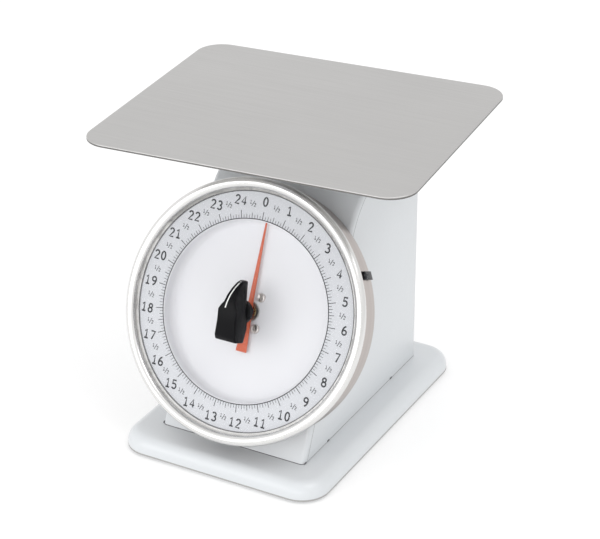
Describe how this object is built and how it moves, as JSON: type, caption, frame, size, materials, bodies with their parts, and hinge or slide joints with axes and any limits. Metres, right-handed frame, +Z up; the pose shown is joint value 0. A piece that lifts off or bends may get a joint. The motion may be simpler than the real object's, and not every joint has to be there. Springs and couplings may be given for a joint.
{
  "type": "dial platform scale",
  "caption": "Mechanical platform scale with a leaning round dial, sprung carriage, check levers, rack and pinion pointer and a tare knob on the lens.",
  "frame": {"origin": "on the table under the middle of the scale's whole box", "axes": "+X to the right of a reader in front of the dial, +Y to the back, +Z up"},
  "size_m": [0.2678, 0.2496, 0.243],
  "materials": {
    "white_enamel": "glossy white stove enamel",
    "blued_steel": "blued",
    "foot_rubber": "matte",
    "platform_stainless": "fine satin grain",
    "cast_aluminium": "as cast",
    "bezel_stainless": "polished",
    "cup_steel": "satin",
    "dial_enamel": "satin white with black graduations",
    "clear_lens": "clear",
    "ring_rubber": "matte",
    "black_plastic": "moulded, slight sheen",
    "pointer_orange": "satin",
    "movement_brass": "turned",
    "spring_steel": "drawn wire",
    "hub_plastic": "moulded",
    "frame_steel": "grey primer",
    "zinc_steel": "zinc plated"
  },
  "bodies": {
    "scale_frame": {"base_plate": "white_enamel", "rubber_feet": "foot_rubber", "housing": "white_enamel", "housing_screws": "zinc_steel", "housing_nuts": "zinc_steel", "frame": "frame_steel", "frame_screws": "zinc_steel", "frame_nuts": "zinc_steel", "spring_beam": "frame_steel", "beam_screws": "zinc_steel", "adjusting_screws": "movement_brass", "adjusting_nuts": "movement_brass", "left_spring": "spring_steel", "right_spring": "spring_steel", "upper_hinge_pin": "zinc_steel", "lower_hinge_pin": "zinc_steel", "dial_cup": "cup_steel", "cup_screws": "zinc_steel", "bezel": "bezel_stainless", "bezel_clips": "blued_steel", "bezel_screws": "zinc_steel", "front_bearing_plate": "movement_brass", "rear_bearing_plate": "movement_brass", "bearing_pillars": "movement_brass", "pillar_screws": "zinc_steel", "bearing_tube": "movement_brass", "hub_clip": "zinc_steel"},
    "carriage_unit": {"carriage": "frame_steel", "upper_carriage_pin": "zinc_steel", "lower_carriage_pin": "zinc_steel", "spring_arm": "frame_steel", "platform_post": "zinc_steel", "rack": "movement_brass", "rack_screws": "zinc_steel"},
    "platform_unit": {"platform": "platform_stainless", "platform_spider": "cast_aluminium"},
    "upper_lever_unit": {"upper_lever": "frame_steel"},
    "lower_lever_unit": {"lower_lever": "frame_steel"},
    "pointer_unit": {"pinion_arbor": "movement_brass", "pointer": "pointer_orange", "pointer_collar": "blued_steel"},
    "dial_unit": {"dial_plate": "dial_enamel", "dial_hub": "hub_plastic", "dial_screws": "zinc_steel", "lens_ring": "ring_rubber", "lens": "clear_lens", "knob": "black_plastic", "knob_screw": "zinc_steel"}
  },
  "joints": [
    {"name": "platform_travel", "type": "slide", "parent": "scale_frame", "child": "carriage_unit", "axis": [0, 0, -1], "range_m": [-0.0005, 0.0178], "stiffness_N_per_m": 6450, "springref_m": -0.00163, "deforming": ["left_spring", "right_spring"]},
    {"name": "platform_turn", "type": "hinge", "parent": "carriage_unit", "child": "platform_unit", "pos_m": [0, 0.00829, 0.23297], "axis": [0, 0, 1], "continuous": true},
    {"name": "upper_lever_swing", "type": "hinge", "parent": "scale_frame", "child": "upper_lever_unit", "pos_m": [0, 0.07029, 0.12934], "axis": [1, 0, 0], "range_deg": [-1, 17]},
    {"name": "lower_lever_swing", "type": "hinge", "parent": "scale_frame", "child": "lower_lever_unit", "pos_m": [0, 0.07029, 0.04538], "axis": [1, 0, 0], "range_deg": [-1, 17]},
    {"name": "pointer_spin", "type": "hinge", "parent": "scale_frame", "child": "pointer_unit", "pos_m": [0, -0.05492, 0.10831], "axis": [0, 0.9107, -0.4131], "range_deg": [-12, 374]},
    {"name": "tare_turn", "type": "hinge", "parent": "scale_frame", "child": "dial_unit", "pos_m": [0, -0.05492, 0.10831], "axis": [0, -0.9107, 0.4131], "continuous": true}
  ],
  "couplings": [
    {"joint": "upper_lever_swing", "follows": "platform_travel", "rad_per_m": 16.129},
    {"joint": "lower_lever_swing", "follows": "platform_travel", "rad_per_m": 16.129},
    {"joint": "pointer_spin", "follows": "platform_travel", "rad_per_m": 364.27}
  ]
}
